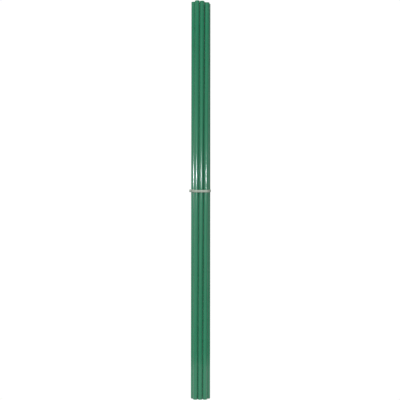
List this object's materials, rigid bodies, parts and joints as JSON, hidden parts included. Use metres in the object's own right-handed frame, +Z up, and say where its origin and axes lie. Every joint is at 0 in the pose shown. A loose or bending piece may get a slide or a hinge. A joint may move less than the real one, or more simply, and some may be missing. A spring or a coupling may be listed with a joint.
{
  "type": "bundle of fibreglass plant stakes",
  "caption": "Upright bundle of green glossy fibreglass plant stakes with square-cut ends, held together near mid height by a wound, pale elastic band; each stake draws out upwards.",
  "frame": {"origin": "on the bundle's axis, on the surface that the feet of the stakes stand on", "axes": "+Z up along the stakes, +X to the right as seen from the front of the bundle, which faces -Y"},
  "size_m": [0.0334, 0.023, 0.61],
  "materials": {
    "green_fibreglass": "gloss",
    "pale_rubber": "satin"
  },
  "bodies": {
    "band": {"elastic_band": "pale_rubber"},
    "outer_stake_1": {"outer_stake_1": "green_fibreglass"},
    "outer_stake_2": {"outer_stake_2": "green_fibreglass"},
    "outer_stake_3": {"outer_stake_3": "green_fibreglass"},
    "outer_stake_4": {"outer_stake_4": "green_fibreglass"},
    "outer_stake_5": {"outer_stake_5": "green_fibreglass"},
    "outer_stake_6": {"outer_stake_6": "green_fibreglass"},
    "outer_stake_7": {"outer_stake_7": "green_fibreglass"},
    "outer_stake_8": {"outer_stake_8": "green_fibreglass"},
    "inner_stake_1": {"inner_stake_1": "green_fibreglass"},
    "inner_stake_2": {"inner_stake_2": "green_fibreglass"}
  },
  "joints": [
    {"name": "outer_stake_1_slide", "type": "slide", "parent": "band", "child": "outer_stake_1", "axis": [0.0038, -0.0009, 1], "range_m": [0, 0.322]},
    {"name": "outer_stake_2_slide", "type": "slide", "parent": "band", "child": "outer_stake_2", "axis": [0.0039, -0.0009, 1], "range_m": [0, 0.322]},
    {"name": "outer_stake_3_slide", "type": "slide", "parent": "band", "child": "outer_stake_3", "axis": [0.0048, -0.0009, 1], "range_m": [0, 0.322]},
    {"name": "outer_stake_4_slide", "type": "slide", "parent": "band", "child": "outer_stake_4", "axis": [-0.0004, 0, 1], "range_m": [0, 0.322]},
    {"name": "outer_stake_5_slide", "type": "slide", "parent": "band", "child": "outer_stake_5", "axis": [-0.0046, 0.0009, 1], "range_m": [0, 0.322]},
    {"name": "outer_stake_6_slide", "type": "slide", "parent": "band", "child": "outer_stake_6", "axis": [-0.0046, 0.0009, 1], "range_m": [0, 0.322]},
    {"name": "outer_stake_7_slide", "type": "slide", "parent": "band", "child": "outer_stake_7", "axis": [-0.0046, 0.0009, 1], "range_m": [0, 0.322]},
    {"name": "outer_stake_8_slide", "type": "slide", "parent": "band", "child": "outer_stake_8", "axis": [0.0004, 0, 1], "range_m": [0, 0.322]},
    {"name": "inner_stake_1_slide", "type": "slide", "parent": "band", "child": "inner_stake_1", "axis": [0, 0, 1], "range_m": [0, 0.322]},
    {"name": "inner_stake_2_slide", "type": "slide", "parent": "band", "child": "inner_stake_2", "axis": [0, 0, 1], "range_m": [0, 0.322]}
  ]
}
